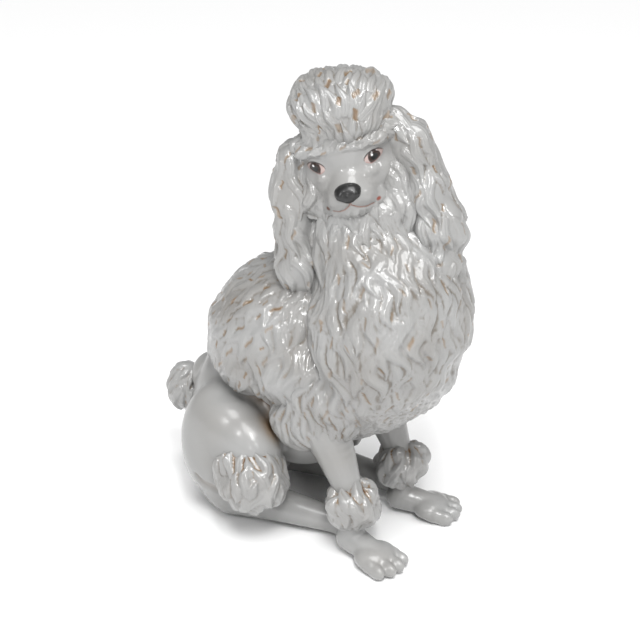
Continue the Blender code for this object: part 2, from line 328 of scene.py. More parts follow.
def comb(
    skin, guides, seed, tries=5000, jitter=0.14, apart=(0.60, 1.55), strands=3, groove=0.30, wave=42.0,
    where=None,
):
    """Models wavy tapering locks, each lapping over the next, and returns their height."""
    at, flow, side, out, size, rng = lay_out(skin, guides, seed, tries, jitter, apart, where)
    swing = 2 * np.pi * -at[:, 2] / wave + 2.0 * clouds(at, 80.0, seed + 500)
    height = np.zeros(skin.count)
    for i in range(len(at)):
        length, width, tall, curl = size[i]
        near = skin.near(at[i], 0.62 * length)
        away = skin.at[near] - at[i]
        along = away @ flow[i] / length + 0.5
        deep = np.abs(away @ out[i]) < 0.45 * length
        facing = skin.normal[near] @ out[i] > 0.15
        k = np.clip(along, 0.001, 0.999)
        phase = swing[i] + rng.normal(0, 0.25) + 2 * np.pi * (k - 0.5) * length / wave
        bend = rng.uniform(0.4, 0.9) * curl * width * np.sin(phase)
        half = width * np.minimum(1, (k / 0.12) ** 0.5) * (1 - 0.93 * smoothstep(0.50, 1.02, k))
        across = (away @ side[i] - bend) / np.maximum(half, 1e-3)
        inside = (np.abs(across) < 1) & (along > 0) & (along < 1) & deep & facing
        dome = np.maximum(1 - across**2, 0) ** 0.8
        lines = 1 - groove * (0.5 + 0.5 * np.cos(np.pi * (strands * (across + 1) + rng.uniform(0, 0.6))))
        rise = 0.34 + 0.66 * smoothstep(0.0, 0.55, k)
        level = rng.uniform(0.0, 0.22)
        value = np.where(inside, tall * (level + rise * dome * lines), 0)
        higher = value > height[near]
        height[near[higher]] = value[higher]
        skin.strand[near[higher]] = across[higher]
    return height


def curls(skin, guides, seed, tries=2500, apart=(0.95, 1.0), where=None):
    """Models small round curls, each wound on itself, and returns their height."""
    at, flow, side, _, size, rng = lay_out(skin, guides, seed, tries, 1.2, apart, where)
    height = np.zeros(skin.count)
    for i in range(len(at)):
        reach, tall = size[i, 0], size[i, 2]
        near = skin.near(at[i], reach)
        away = skin.at[near] - at[i]
        x, y = away @ flow[i], away @ side[i] * 1.15
        r = np.hypot(x, y) / reach
        wind = np.arctan2(y, x) + rng.uniform(0, 6.28)
        turn = 0.72 + 0.28 * np.cos(wind - 7.0 * r * np.sign(rng.uniform(-1, 1)))
        value = tall * np.maximum(1 - r**2, 0) ** 0.6 * turn
        height[near] = np.maximum(height[near], value)
    return height


def dashes(skin, guides, seed, tries, apart, depth, strength, where=None):
    """Presses short stained strokes into a skin."""
    at, flow, _, _, size, rng = lay_out(skin, guides, seed, tries, 0.35, apart, where)
    for i in range(len(at)):
        long, half, _, bend = size[i]
        long *= rng.uniform(0.6, 1.2)
        stroke(skin, at[i], flow[i], long, half, depth, strength * rng.uniform(0.5, 1), bend)


def stroke(skin, at, flow, length, half, depth, strength, bend=0.0):
    """One pressed and stained stroke: where it is, its way, length and half width."""
    at = np.array(at, float)
    near = skin.near(at, 0.6 * length + 2 * half + 7)
    if len(near) == 0:
        return
    out = unit(skin.normal[near].sum(axis=0))
    flow = unit(np.array(flow, float) - (np.array(flow) @ out) * out)
    side = np.cross(out, flow)
    away = skin.at[near] - at
    k = np.clip(away @ flow / length + 0.5, 0, 1)
    centre = bend * half * np.sin(2 * np.pi * k)
    width = half * np.sin(np.pi * np.clip(k, 0.02, 0.98)) ** 0.5
    across = (away @ side - centre) / np.maximum(width, 0.2)
    ahead = np.abs(away @ flow) < 0.5 * length
    mark = np.exp(-1.6 * across**4) * ahead * (skin.normal[near] @ out > 0.1)
    skin.lift[near] -= depth * mark
    skin.stain[near] = np.maximum(skin.stain[near], strength * mark)


def shade_under_lumps(skin, lumps, reach, strength):
    """Painted shade in dark brown where the skin runs in under the rounded lumps of a neighbour."""
    for at, half, _ in lumps:
        beyond = (np.linalg.norm((skin.at - at) / np.array(half, float), axis=1) - 1) * min(half)
        skin.stain = np.maximum(skin.stain, strength * np.exp(-((np.maximum(beyond, 0) / reach) ** 2)))


def sized(guides, length, half, bend):
    """The same flow, for strokes of one size."""
    return [(place, way, (length, half, 1, bend)) for place, way, _ in guides]


def stain_hollows(skin, start, full, seed, patch=22.0, dry=0.35, share=1.0):
    """Leaves ochre in the deeper grooves, here and there."""
    deep = smoothstep(start, full, skin.hollows(5))
    patches = smoothstep(-0.2 + dry, 0.9 + dry, clouds(skin.at, patch, seed) + 0.35)
    skin.stain = np.maximum(skin.stain, share * deep * patches)


def keep_attributes(skin, shade_scale=0.55, broad_shade=0.10):
    """Stores the stain and the hollow shade on the piece."""
    mesh = skin.clay.data
    patches = 0.55 + 0.45 * np.clip(clouds(skin.at, 45.0, 8), -1, 1)
    # painted shade: fine creases and large hollows between parts are darkened, partly also glaze pooling
    fine = smoothstep(0.05, shade_scale, skin.hollows(7)) * patches
    shade = np.maximum(fine, 0.8 * smoothstep(0.4, 4.5, skin.hollows(60)))
    # painted shade: a broad darkening in soft patches over the whole piece, added to the hollow shade
    shade = np.clip(shade + broad_shade * (1 + 0.8 * clouds(skin.at, 60.0, 3)), 0, 1)
    for name, values in (("stain", skin.stain), ("shade", shade), ("strand", skin.strand)):
        layer = mesh.attributes.new(name, "FLOAT", "POINT")
        layer.data.foreach_set("value", np.clip(values, -1, 1).astype(np.float32))


def hand_over(clay, nodes):
    """The piece rides on the fixed frame, and stands for its plain solids."""
    for name in nodes:
        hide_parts(name)
    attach(clay, "root")


# ---- glaze ---------------------------------------------------------------------------------------
class Wire:
    """One shader socket, with arithmetic."""

    def __init__(self, brush, socket):
        self.brush, self.socket = brush, socket

    def math(self, kind, other=None):
        values = {0: self} if other is None else {0: self, 1: other}
        return self.brush.add("ShaderNodeMath", {"operation": kind, "use_clamp": False}, values)

    def __add__(self, other):
        return self.math("ADD", other)

    def __sub__(self, other):
        return self.math("SUBTRACT", other)

    def __mul__(self, other):
        return self.math("MULTIPLY", other)

    def __rsub__(self, other):
        return self.brush.add("ShaderNodeMath", {"operation": "SUBTRACT"}, {0: other, 1: self})

    __radd__, __rmul__ = __add__, __mul__

    def clamped(self):
        return self.brush.add("ShaderNodeClamp", {}, {"Value": self})


class Brush:
    """Adds nodes to one material."""

    def __init__(self, name):
        self.paint = bpy.data.materials.new(name)
        self.paint.use_nodes = True
        self.tree = self.paint.node_tree
        self.shader = self.tree.nodes["Principled BSDF"]

    def feed(self, socket, value):
        if isinstance(value, Wire):
            self.tree.links.new(value.socket, socket)
        else:
            socket.default_value = value

    def add(self, kind, settings, values, out=0):
        node = self.tree.nodes.new(kind)
        for name, value in settings.items():
            setattr(node, name, value)
        for name, value in values.items():
            self.feed(node.inputs[name], value)
        return Wire(self, node.outputs[out])

    def attribute(self, name, out="Fac"):
        return self.add("ShaderNodeAttribute", {"attribute_name": name}, {}, out)

    def mix(self, share, a, b):
        node = self.tree.nodes.new("ShaderNodeMix")
        node.data_type = "RGBA"
        self.feed(node.inputs[0], share)
        self.feed(node.inputs[6], a if isinstance(a, Wire) else (*a, 1.0))
        self.feed(node.inputs[7], b if isinstance(b, Wire) else (*b, 1.0))
        return Wire(self, node.outputs[2])

    def set(self, **values):
        for name, value in values.items():
            self.feed(self.shader.inputs[name.replace("_", " ")], value)


def glaze(name, painted=False, shine=(0.85, 0.05)):
    """White tin glaze with stain in the grooves, painted shade in the hollows, and painted features where the
    piece has them.
    """
    c = colours()
    brush = Brush(name)
    place = brush.add("ShaderNodeTexCoord", {}, {}, "Object")
    speck = brush.add("ShaderNodeTexNoise", {}, {"Vector": place, "Scale": 260.0, "Detail": 3.0})
    pool = brush.add("ShaderNodeTexNoise", {}, {"Vector": place, "Scale": 24.0, "Detail": 2.0})
    shade, stain = brush.attribute("shade"), brush.attribute("stain")
    white = brush.mix((pool * 0.5).clamped(), tuple(c.glaze), tuple(x * 0.92 for x in c.glaze))
    # painted shade: the shade attribute darkens the glaze towards the hollow colour
    white = brush.mix((shade * 0.9).clamped(), white, tuple(c.hollow))
    # stain, and on the hindquarters also painted shade under the mane: ochre, then umber where strongest
    ochre_share = (stain * (speck * 0.8 + 0.62)).clamped()
    colour = brush.mix(ochre_share, white, tuple(c.ochre))
    colour = brush.mix(((stain - 0.55) * 2.4).clamped(), colour, tuple(c.umber))
    if painted:
        mask = brush.attribute("painted_share")
        colour = brush.mix(mask, colour, brush.attribute("painted", "Color"))
    ripple = brush.add("ShaderNodeTexNoise", {}, {"Vector": place, "Scale": 90.0, "Detail": 2.0})
    strand = brush.attribute("strand")
    hairs = (strand * 15.0).math("SINE") * (1.0 - strand * strand)
    relief = ripple * 0.6 + hairs * 0.5
    bump = brush.add("ShaderNodeBump", {}, {"Strength": 0.35, "Distance": 0.0004, "Height": relief})
    brush.set(Base_Color=colour, Roughness=c.rough, Normal=bump)
    brush.set(Coat_Weight=shine[0], Coat_Roughness=shine[1], Specular_IOR_Level=0.3)
    return brush.paint


def coat(clay, paint):
    clay.data.materials.clear()
    clay.data.materials.append(paint)


# ---- mane ----------------------------------------------------------------------------------------
CHEST_LUMPS = [
    ((2, -66, 240), (90, 79, 109), (8, 0, 0)),
    ((0, -22, 172), (82, 76, 58), (0, 0, 0)),
    ((-46, -4, 141), (34, 50, 36), (0, 0, 0)),
    ((46, -4, 141), (34, 50, 36), (0, 0, 0)),
    ((2, -38, 306), (60, 54, 84), (0, 0, 0)),
]
BACK_LUMPS = [
    ((0, 50, 214), (83, 98, 77), (-28, 0, 0)),
    ((0, 18, 194), (85, 91, 68), (0, 0, 0)),
    ((0, 10, 300), (48, 48, 74), (0, 0, 0)),
    ((0, 66, 187), (81, 64, 47), (-20, 0, 0)),
]
BACK_GUIDES = [
    ((-30, 50, 300), (-0.3, 0.6, -0.8), (38, 6.0, 2.6, 0.8)),
    ((0, 100, 270), (0.0, 0.8, -0.6), (36, 6.0, 2.2, 0.8)),
    ((30, 50, 300), (0.3, 0.6, -0.8), (38, 6.0, 2.6, 0.8)),
    ((-50, 110, 240), (-0.2, 0.7, -0.7), (36, 6.0, 2.1, 0.8)),
    ((50, 110, 240), (0.2, 0.7, -0.7), (36, 6.0, 2.1, 0.8)),
    ((0, 140, 190), (0.0, 0.3, -1.0), (38, 6.0, 2.4, 0.8)),
    ((-80, 60, 200), (0.0, 0.45, -0.9), (38, 6.0, 2.4, 0.8)),
    ((80, 60, 200), (0.0, 0.45, -0.9), (38, 6.0, 2.4, 0.8)),
    ((-84, 0, 230), (0.0, 0.2, -1.0), (52, 6.4, 3.0, 0.9)),
    ((84, 0, 230), (0.0, 0.2, -1.0), (52, 6.4, 3.0, 0.9)),
    ((-74, 10, 150), (0.2, 0.1, -0.95), (42, 4.6, 2.8, 0.8)),
    ((74, 10, 150), (-0.2, 0.1, -0.95), (42, 4.6, 2.8, 0.8)),
    ((0, 60, 130), (0.0, 0.9, -0.2), (30, 5.0, 1.8, 0.6)),
]
CHEST_GUIDES = [
    ((-60, 10, 290), (0.0, -0.50, -0.9), (54, 7.4, 3.8, 0.6)),
    ((-84, -40, 260), (0.0, -0.35, -0.95), (58, 7.6, 4.0, 0.7)),
    ((84, -40, 260), (0.0, -0.15, -1.0), (52, 7.2, 3.8, 0.7)),
    ((-84, -20, 200), (0.0, -0.05, -1.0), (50, 6.2, 3.6, 0.7)),
    ((84, -20, 200), (0.0, 0.05, -1.0), (48, 6.6, 3.6, 0.7)),
    ((-60, -100, 250), (0.15, -0.1, -1.0), (52, 7.2, 3.4, 0.8)),
    ((-30, -130, 260), (0.05, 0.0, -1.0), (46, 6.8, 3.0, 0.9)),
    ((20, -140, 250), (-0.05, 0.0, -1.0), (44, 6.8, 3.0, 0.9)),
    ((60, -110, 250), (0.1, 0.0, -1.0), (44, 7.0, 3.4, 0.9)),
    ((-70, -60, 180), (0.1, 0.0, -1.0), (38, 5.6, 3.0, 0.8)),
    ((70, -60, 180), (-0.1, 0.0, -1.0), (34, 5.6, 3.2, 0.8)),
    ((0, -130, 190), (0.0, 0.3, -1.0), (32, 5.4, 2.8, 0.9)),
    ((-66, -20, 130), (0.35, -0.15, -0.85), (36, 3.4, 2.6, 0.6)),
    ((66, -20, 130), (-0.35, -0.15, -0.85), (36, 3.4, 2.6, 0.6)),
    ((0, -80, 120), (0.0, 0.9, -0.4), (24, 4.6, 2.4, 0.9)),
]
CURL_GUIDES = [
    ((0, -120, 150), (0, 0, -1), (8.2, 8.0, 2.9, 0)),
    ((-60, -90, 140), (0, 0, -1), (8.6, 8.0, 2.7, 0)),
]
BACK_DASHES = [
    ((0, 100, 260), (0.0, 0.7, -0.7), (10, 1.5, 1, 0.4)),
    ((-80, 60, 200), (0.0, 0.35, -0.95), (12, 1.6, 1, 0.5)),
    ((80, 60, 200), (0.0, 0.35, -0.95), (12, 1.6, 1, 0.5)),
]


def finer(guides, length=0.55, width=0.6, tall=0.5):
    """The same flow with smaller locks."""
    return [
        (place, way, (size[0] * length, size[1] * width, size[2] * tall, size[3]))
        for place, way, size in guides
    ]


class POODLE_OT_mane(bpy.types.Operator):
    """Models the mane jacket, chest and back"""

    bl_idname = "poodle.mane"
    bl_label = "Mane jacket"

    def execute(self, context):
        glaze("mane_glaze")
        self.back()
        self.chest()
        return {"FINISHED"}

    def back(self):
        clay = press_together([ball(*lump) for lump in BACK_LUMPS], "mane_back_fur", 5.6, 8, 2)
        skin = Skin(clay)
        height = comb(skin, BACK_GUIDES, 11, 9000)
        height = height + 0.35 * comb(skin, finer(BACK_GUIDES), 12, 9000, jitter=0.25)
        swell = 1.5 * clouds(skin.at, 45.0, 14)
        skin.raise_by(height * sizes().mane_relief - 1.6 + swell, sizes().softness + 1)
        flank = skin.at[:, 1] > 24
        dashes(skin, BACK_DASHES, 15, 4000, (1.4, 9.0), 1.0, 0.8, where=flank)
        skin.raise_by(skin.lift, 1)
        stain_hollows(skin, 0.22, 0.9, 16, dry=0.10, share=0.62)
        # painted shade: the back of the mane is darkened more broadly than the other pieces
        keep_attributes(skin, broad_shade=0.20)
        coat(clay, bpy.data.materials["mane_glaze"])
        hand_over(clay, ["mane_jacket"])

    def chest(self):
        clay = press_together([ball(*lump) for lump in CHEST_LUMPS], "mane_chest_fur", 6.1, 6, 2)
        skin = Skin(clay)
        low = smoothstep(196, 168, skin.at[:, 2] + 0.18 * skin.at[:, 1] + 12 - 0.10 * skin.at[:, 0])
        low *= smoothstep(-40, -75, skin.at[:, 1] - 0.35 * skin.at[:, 0])
        height = comb(skin, CHEST_GUIDES, 21, 9000)
        height = height + 0.45 * comb(skin, finer(CHEST_GUIDES), 22, 12000, jitter=0.22)
        small = curls(skin, CURL_GUIDES, 23, 9000, where=low > 0.15)
        height = height * (1 - 0.8 * low) + small * low * sizes().curl_relief
        skin.raise_by(height * sizes().mane_relief - 2.2 + 1.8 * clouds(skin.at, 42.0, 24), sizes().softness)
        dashes(skin, sized(CHEST_GUIDES, 14, 1.6, 0.4), 27, 2500, (2.4, 18.0), 1.0, 0.6)
        skin.raise_by(skin.lift, 1)
        stain_hollows(skin, 0.40, 1.3, 25, dry=0.50, share=0.6)
        lower = smoothstep(215, 150, skin.at[:, 2]) * smoothstep(-20, -60, skin.at[:, 0])
        stain_hollows(skin, 0.20, 0.8, 26, dry=0.0, share=0.7 * lower)
        # painted shade: a light broad darkening over the chest
        keep_attributes(skin, broad_shade=0.12)
        coat(clay, bpy.data.materials["mane_glaze"])
        hand_over(clay, ["mane_jacket"])


# ---- ruff under the chin -------------------------------------------------------------------------
RUFF_LUMPS = [
    (head_at(6, 14, -84), (50, 42, 44), (0, 0, 0)),
    (head_at(12, 22, -112), (54, 40, 40), (0, 0, 0)),
    (head_at(2, 14, -56), (42, 38, 26), (0, 0, 0)),
    (head_at(-40, 14, -34), (18, 22, 26), (0, 0, 0)),
    (head_at(42, 12, -30), (18, 24, 30), (0, 0, 0)),
    (head_at(40, 20, -62), (24, 26, 30), (0, 0, 0)),
]
RUFF_GUIDES = [
    (head_at(0, 60, -50), (0.0, -0.3, -1.0), (26, 5.0, 2.2, 0.6)),
    (head_at(40, 30, -30), (0.2, 0.0, -1.0), (34, 5.2, 2.4, 0.6)),
    (head_at(-30, 40, -90), (-0.3, 0.0, -1.0), (50, 6.6, 3.4, 0.8)),
    (head_at(10, 62, -100), (0.15, 0.0, -1.0), (44, 6.4, 3.0, 0.9)),
    (head_at(50, 40, -100), (0.35, 0.0, -1.0), (50, 6.8, 3.8, 0.8)),
    (head_at(10, 40, -140), (0.1, 0.2, -1.0), (34, 6.0, 3.8, 0.9)),
]


def in_frame(guides, place):
    """Guides given in another frame, as guides of the body."""
    turn = place.to_3x3()
    return [(place @ Vector(p), turn @ Vector(d), s) for p, d, s in guides]


class POODLE_OT_ruff(bpy.types.Operator):
    """Models the ruff of long locks below the chin"""

    bl_idname = "poodle.ruff"
    bl_label = "Ruff"

    def execute(self, context):
        clay = press_together([ball(*lump, place=HEAD) for lump in RUFF_LUMPS], "ruff_fur", 4.0, 8, 2)
        skin = Skin(clay)
        guides = in_frame(RUFF_GUIDES, HEAD)
        height = comb(skin, guides, 21, 6000)
        height += 0.5 * comb(skin, finer(guides), 22, 9000, jitter=0.3)
        skin.raise_by(height * sizes().mane_relief - 1.6 + 1.2 * clouds(skin.at, 30.0, 23), sizes().softness)
        stain_hollows(skin, 0.4, 1.2, 24, dry=0.5, share=0.8)
        keep_attributes(skin)
        coat(clay, bpy.data.materials["mane_glaze"])
        hand_over(clay, ["mane_jacket"])
        return {"FINISHED"}


# ---- ears ----------------------------------------------------------------------------------------
RIGHT_EAR_LUMPS = [
    (head_at(-55, 4, -6), (20, 24, 25), (0, 0, 0)),
    (head_at(-61, 6, -34), (24, 30, 38), (0, 0, 0)),
    (head_at(-64, 10, -70), (22, 30, 38), (0, 0, 0)),
    (head_at(-66, 16, -104), (25, 27, 33), (0, 0, 0)),
]
LEFT_EAR_LUMPS = [
    (head_at(46, 2, 14), (18, 24, 24), (0, 0, 0)),
    (head_at(60, 6, -12), (23, 28, 40), (0, 0, 0)),
    (head_at(68, 10, -52), (24, 30, 40), (0, 0, 0)),
    (head_at(73, 18, -82), (29, 29, 32), (0, 0, 0)),
    (head_at(66, 28, -114), (25, 27, 26), (0, 0, 0)),
]
EAR_GUIDES = [
    (head_at(-50, 20, 10), (-0.3, 0.0, -1.0), (36, 5.0, 2.6, 0.6)),
    (head_at(-60, 30, -50), (0.05, 0.0, -1.0), (56, 6.0, 3.6, 0.8)),
    (head_at(-60, 40, -110), (0.2, 0.2, -1.0), (40, 6.0, 3.4, 0.8)),
    (head_at(50, 20, 20), (0.5, 0.0, -1.0), (36, 5.4, 2.8, 0.6)),
    (head_at(70, 30, -40), (0.12, 0.0, -1.0), (58, 6.4, 3.8, 0.8)),
    (head_at(80, 40, -110), (-0.1, 0.2, -1.0), (44, 6.4, 3.6, 0.8)),
]


class POODLE_OT_ears(bpy.types.Operator):
    """Models both long ears"""

    bl_idname = "poodle.ears"
    bl_label = "Ears"

    def execute(self, context):
        guides = in_frame(EAR_GUIDES, HEAD)
        for name, lumps, seed in (("ear_right", RIGHT_EAR_LUMPS, 31), ("ear_left", LEFT_EAR_LUMPS, 36)):
            clay = press_together([ball(*lump, place=HEAD) for lump in lumps], name + "_fur", 4.2, 6, 2)
            skin = Skin(clay)
            height = comb(skin, guides, seed, 5000, strands=3)
            height = height * sizes().mane_relief - 1.4 + 1.2 * clouds(skin.at, 28.0, seed + 1)
            skin.raise_by(height, sizes().softness)
            dashes(skin, sized(guides, 13, 2.0, 0.8), seed + 2, 3000, (1.7, 9.0), 1.0, 0.7)
            skin.raise_by(skin.lift, 1)
            stain_hollows(skin, 0.4, 1.2, seed + 3, dry=0.45, share=0.85)
            keep_attributes(skin)
            coat(clay, bpy.data.materials["mane_glaze"])
            hand_over(clay, [name])
        return {"FINISHED"}


# ---- topknot -------------------------------------------------------------------------------------
TOPKNOT_LUMPS = [
    (head_at(-3, 0, 47), (50, 46, 33), (0, 0, 0)),
    (head_at(-16, -4, 53), (36, 38, 26), (0, 0, 0)),
    (head_at(16, 4, 50), (33, 38, 28), (0, 0, 0)),
    (head_at(2, 8, 33), (45, 39, 24), (0, 0, 0)),
]
TOPKNOT_GUIDES = [
    (head_at(0, 44, 26), (-0.1, -0.2, 1.0), (30, 4.4, 3.0, 0.5)),
    (head_at(-40, 24, 36), (-0.7, 0.0, 0.8), (34, 4.6, 3.4, 0.5)),
    (head_at(-30, 30, 60), (-0.4, 0.4, 0.7), (30, 4.6, 3.4, 0.6)),
    (head_at(36, 30, 40), (0.5, 0.1, 0.9), (36, 4.6, 2.6, 0.4)),
    (head_at(30, 20, 70), (0.2, 0.7, 0.5), (30, 4.6, 2.6, 0.5)),
    (head_at(0, 0, 90), (0.0, 1.0, 0.1), (28, 5.0, 3.0, 0.6)),
    (head_at(0, -45, 50), (0.0, 0.2, -1.0), (34, 5.0, 3.0, 0.6)),
]


class POODLE_OT_topknot(bpy.types.Operator):
    """Models the swept topknot"""

    bl_idname = "poodle.topknot"
    bl_label = "Topknot"

    def execute(self, context):
        clay = press_together([ball(*lump, place=HEAD) for lump in TOPKNOT_LUMPS], "topknot_fur", 3.4, 8, 2)
        skin = Skin(clay)
        guides = in_frame(TOPKNOT_GUIDES, HEAD)
        height = comb(skin, guides, 41, 6000, strands=2)
        skin.raise_by(height - 1.2 + 1.0 * clouds(skin.at, 26.0, 42), sizes().softness)
        dashes(skin, sized(guides, 12, 3.0, 0.3), 43, 3000, (1.7, 6.5), 0.9, 0.72)
        skin.raise_by(skin.lift, 1)
        stain_hollows(skin, 0.35, 1.1, 44, dry=0.35, share=0.9)
        keep_attributes(skin)
        coat(clay, bpy.data.materials["mane_glaze"])
        hand_over(clay, ["topknot"])
        return {"FINISHED"}


# ---- head ----------------------------------------------------------------------------------------
CRANIUM_LUMPS = [
    (head_at(0, -2, 2), (48, 46, 46), (0, 0, 0)),
    (head_at(0, -4, 34), (40, 38, 20), (0, 0, 0)),
    (head_at(0, -14, -24), (44, 34, 36), (0, 0, 0)),
]
FACE_LUMPS = [
    (head_at(0, 10, 4), (47, 33, 34), (0, 0, 0)),
    (head_at(0, 10, -10), (49, 31, 30), (0, 0, 0)),
    (head_at(0, 34, -9), (18, 28, 13), (24, 0, 0)),
    (head_at(0, 40, -22), (24, 24, 14), (0, 0, 0)),
    (head_at(0, 52, -21), (16, 12, 11), (0, 0, 0)),
    (head_at(-12, 45, -26), (12, 13, 8.5), (0, 0, 0)),
    (head_at(12, 45, -26), (12, 13, 8.5), (0, 0, 0)),
    (head_at(0, 45, -34), (17, 14, 8.5), (0, 0, 0)),
    (head_at(0, 26, -34), (33, 28, 14), (0, 0, 0)),
    (head_at(-24, 33, -4), (8, 9, 8), (0, 0, 0)),
    (head_at(24, 33, -4), (8, 9, 8), (0, 0, 0)),
    (head_at(-26, 31, 18), (19, 10, 7), (0, 12, 0)),
    (head_at(26, 31, 18), (19, 10, 7), (0, -12, 0)),
]
FORELOCK_LUMPS = [
    (head_at(-38, 15, 24), (13, 13, 10), (0, 20, 0)),
    (head_at(-21, 23, 29), (14, 12, 11), (0, -15, 0)),
    (head_at(-4, 27, 29), (12, 12, 12), (0, 20, 0)),
    (head_at(13, 27, 31), (13, 12, 12), (0, -10, 0)),
    (head_at(29, 22, 29), (13, 12, 11), (0, 15, 0)),
    (head_at(43, 14, 26), (13, 13, 12), (0, -20, 0)),
    (head_at(4, 22, 42), (40, 20, 15), (0, 0, 0)),
]
BROW_GUIDES = [
    (head_at(-6, 44, 24), (-0.6, 0.2, -0.7), (20, 4.0, 2.6, 0.6)),
    (head_at(-36, 26, 26), (-0.9, 0.2, -0.6), (22, 4.2, 2.6, 0.6)),
    (head_at(8, 44, 26), (0.8, 0.2, 0.4), (20, 4.0, 2.6, 0.9)),
    (head_at(36, 28, 28), (1.0, 0.2, -0.3), (22, 4.2, 2.6, 0.8)),
    (head_at(0, 30, 46), (0.0, 0.3, 1.0), (20, 4.0, 2.2, 0.4)),
]
NAPE_GUIDES = [
    (head_at(0, -48, 10), (0.0, 0.0, -1.0), (40, 5.6, 3.2, 0.7)),
    (head_at(-40, -20, 0), (-0.1, 0.0, -1.0), (40, 5.6, 3.2, 0.7)),
    (head_at(40, -20, 0), (0.1, 0.0, -1.0), (40, 5.6, 3.2, 0.7)),
]
CHIN_GUIDES = [
    (head_at(0, 50, -42), (0.0, 0.0, -1.0), (17, 3.8, 2.6, 0.5)),
    (head_at(-36, 34, -32), (-0.7, 0.0, -0.9), (20, 4.0, 2.6, 0.5)),
    (head_at(36, 34, -32), (0.7, 0.0, -0.9), (20, 4.0, 2.6, 0.5)),
]
EYE_ACROSS, EYE_UP, EYE_SLANT = 29.3, 5.6, 11.0
MOUTH = [(0, -24), (1, -29), (7, -33), (14, -35.5), (20, -35)]
LIP_DOT = (24.5, -32.5)


def line_distance(x, y, points):
    """Distance from each point of a plane to a polyline."""
    best = np.full(len(x), 1e9)
    for (ax, ay), (bx, by) in zip(points, points[1:]):
        dx, dy = bx - ax, by - ay
        k = np.clip(((x - ax) * dx + (y - ay) * dy) / (dx * dx + dy * dy), 0, 1)
        best = np.minimum(best, np.hypot(x - ax - k * dx, y - ay - k * dy))
    return best


def eye_plane(across, up, side):
    """Places around one eye: outwards and up, in its own slanted frame."""
    x, y = side * across - EYE_ACROSS, up - EYE_UP
    c, s = math.cos(math.radians(EYE_SLANT)), math.sin(math.radians(EYE_SLANT))
    return x * c + y * s, y * c - x * s


def lid_edges(x, half):
    """Heights of the upper and the lower lid over the width of an eye."""
    k = np.clip(x / half, -1, 1)
    top = 4.7 * (1 - k**2) ** 0.60 + 0.9
    low = -4.2 * (1 - np.abs(k + 0.08) ** 2.2).clip(0) ** 0.8
    return top, low


def paint_over(painted, share, mask, colour):
    """Lays one colour over those already painted."""
    mask = np.clip(mask, 0, 1)
    painted[:] = painted * (1 - mask[:, None]) + np.array(colour) * mask[:, None]
    share[:] = np.maximum(share, mask)


def edge(distance, half=0.45):
    """A soft painted edge: 1 inside, 0 outside."""
    return 1 - smoothstep(-half, half, distance)


